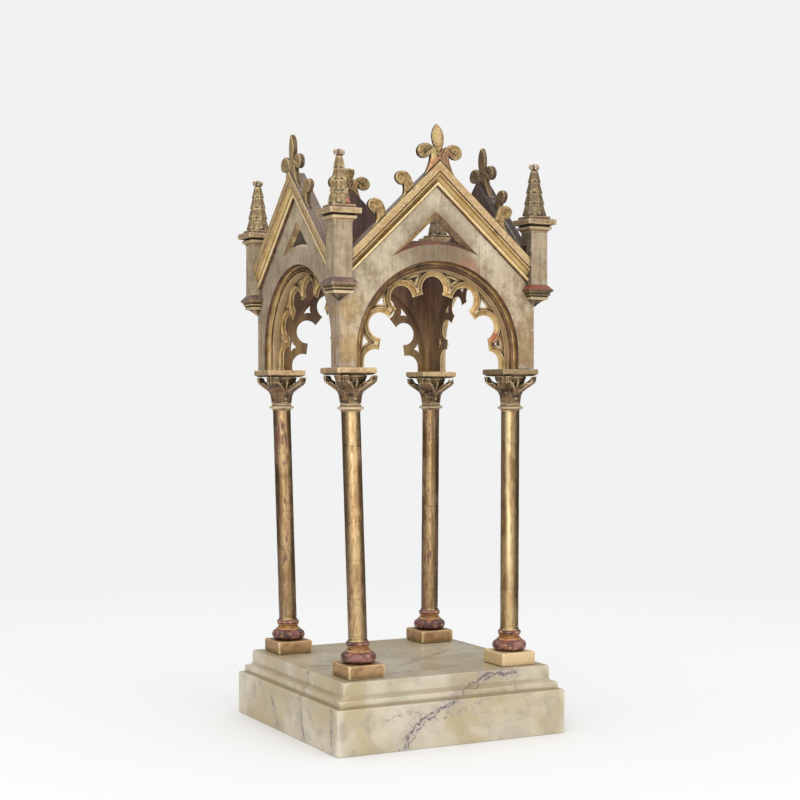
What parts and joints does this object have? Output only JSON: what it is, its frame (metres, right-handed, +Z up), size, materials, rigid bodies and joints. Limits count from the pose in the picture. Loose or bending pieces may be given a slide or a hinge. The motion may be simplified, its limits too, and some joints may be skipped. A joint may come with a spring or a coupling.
{
  "type": "gothic revival altar canopy on a plinth",
  "caption": "Gothic Revival altar canopy: gilded gabled arches with cusped tracery, pinnacles and finials on turned columns, standing on a stepped square plinth painted as marble",
  "frame": {"origin": "middle of the plinth's underside, on the surface it stands on", "axes": "+Z up; +X to the right along the main face, which looks to -Y"},
  "size_m": [0.5225, 0.515, 1.234],
  "materials": {
    "gilded_wood": "worn burnished gold leaf over red bole and gesso",
    "painted_wood": "weathered cream and grey paint with remains of gilding",
    "marbled_wood": "satin paint imitating cream marble with purple-grey veins"
  },
  "bodies": {
    "root": {"abacus_back_left": "gilded_wood", "abacus_back_right": "gilded_wood", "abacus_front_left": "gilded_wood", "abacus_front_right": "gilded_wood", "capital_back_left": "gilded_wood", "capital_back_right": "gilded_wood", "capital_front_left": "gilded_wood", "capital_front_right": "gilded_wood", "column_back_left": "gilded_wood", "column_back_right": "gilded_wood", "column_block_back_left": "gilded_wood", "column_block_back_right": "gilded_wood", "column_block_front_left": "gilded_wood", "column_block_front_right": "gilded_wood", "column_front_left": "gilded_wood", "column_front_right": "gilded_wood", "crocket_back_right_lower": "gilded_wood", "crocket_front_left_lower": "gilded_wood", "crocket_front_left_upper": "gilded_wood", "crocket_front_right_lower": "gilded_wood", "crocket_left_right_upper": "gilded_wood", "crocket_right_left_upper": "gilded_wood", "crocket_right_right_upper": "gilded_wood", "finial_back": "gilded_wood", "finial_front": "gilded_wood", "finial_left": "gilded_wood", "finial_right": "gilded_wood", "gable_panel_back": "painted_wood", "gable_panel_front": "painted_wood", "gable_panel_left": "painted_wood", "gable_panel_right": "painted_wood", "pinnacle_cap_back_left": "gilded_wood", "pinnacle_cap_back_right": "gilded_wood", "pinnacle_cap_front_left": "gilded_wood", "pinnacle_cap_front_right": "gilded_wood", "pinnacle_corbel_back_left": "gilded_wood", "pinnacle_corbel_back_right": "gilded_wood", "pinnacle_corbel_front_left": "gilded_wood", "pinnacle_corbel_front_right": "gilded_wood", "pinnacle_post_back_left": "painted_wood", "pinnacle_post_back_right": "painted_wood", "pinnacle_post_front_left": "painted_wood", "pinnacle_post_front_right": "painted_wood", "pinnacle_spire_back_left": "gilded_wood", "pinnacle_spire_back_right": "gilded_wood", "pinnacle_spire_front_left": "gilded_wood", "pinnacle_spire_front_right": "gilded_wood", "plinth": "marbled_wood", "rake_moulding_back": "gilded_wood", "rake_moulding_front": "gilded_wood", "rake_moulding_left": "gilded_wood", "rake_moulding_right": "gilded_wood", "tracery_back": "gilded_wood", "tracery_front": "gilded_wood", "tracery_left": "gilded_wood", "tracery_right": "gilded_wood"}
  },
  "joints": []
}
